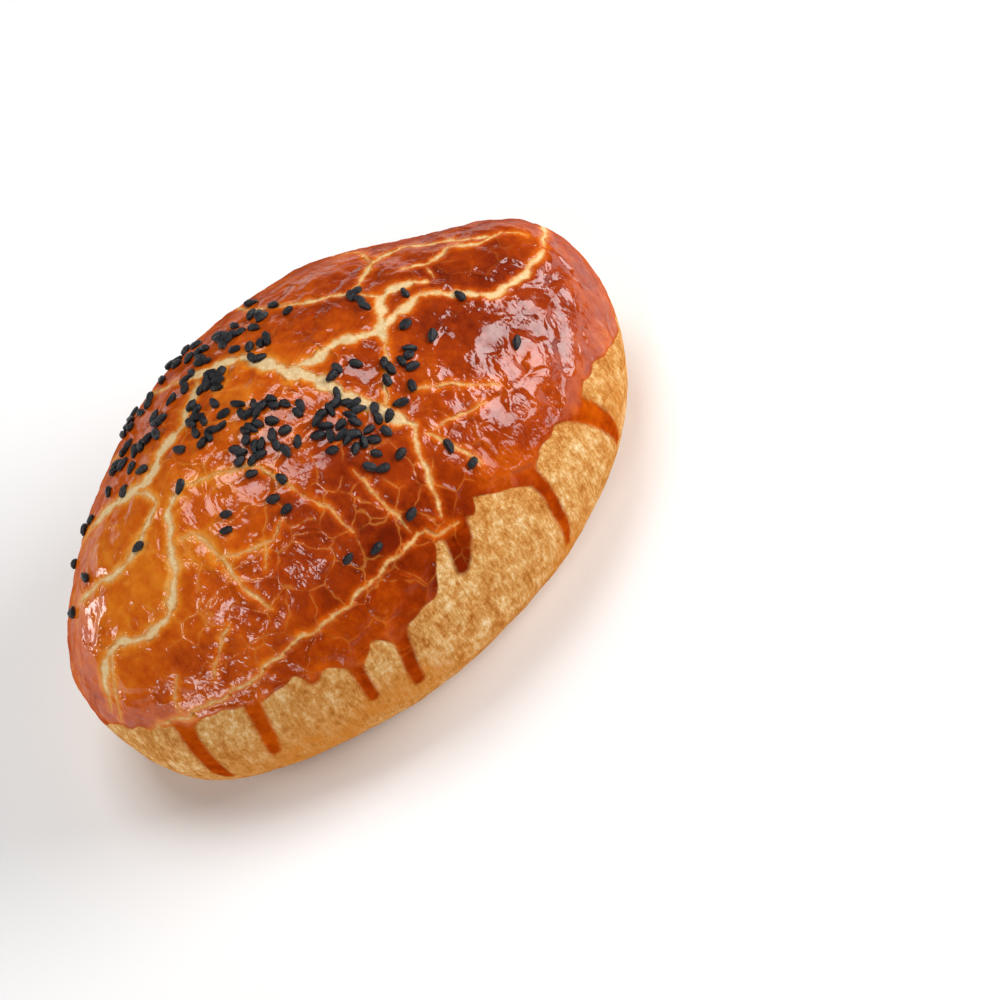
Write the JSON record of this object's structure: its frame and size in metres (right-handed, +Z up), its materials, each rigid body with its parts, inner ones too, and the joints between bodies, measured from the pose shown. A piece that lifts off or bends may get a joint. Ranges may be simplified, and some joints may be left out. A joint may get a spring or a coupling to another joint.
{
  "type": "cheese pogaca",
  "caption": "Shuttle-shaped savoury bread roll with a glossy, crackled, egg-washed dome, a flat base and a band of black cumin seeds across its middle.",
  "frame": {"origin": "middle of the flat baked base, on the surface it stands on", "axes": "+Z up; X runs from nose to nose, with the left, higher-lifted nose at -X; the long side with the drips faces -Y"},
  "size_m": [0.1304, 0.0865, 0.0575],
  "materials": {
    "crust": "baked crust: glossy red-brown egg wash with pale torn cracks over a matte tan side",
    "cumin_seed": "dry black cumin seed, matt and finely wrinkled"
  },
  "bodies": {
    "root": {"seeded_roll": "crust"}
  },
  "joints": []
}
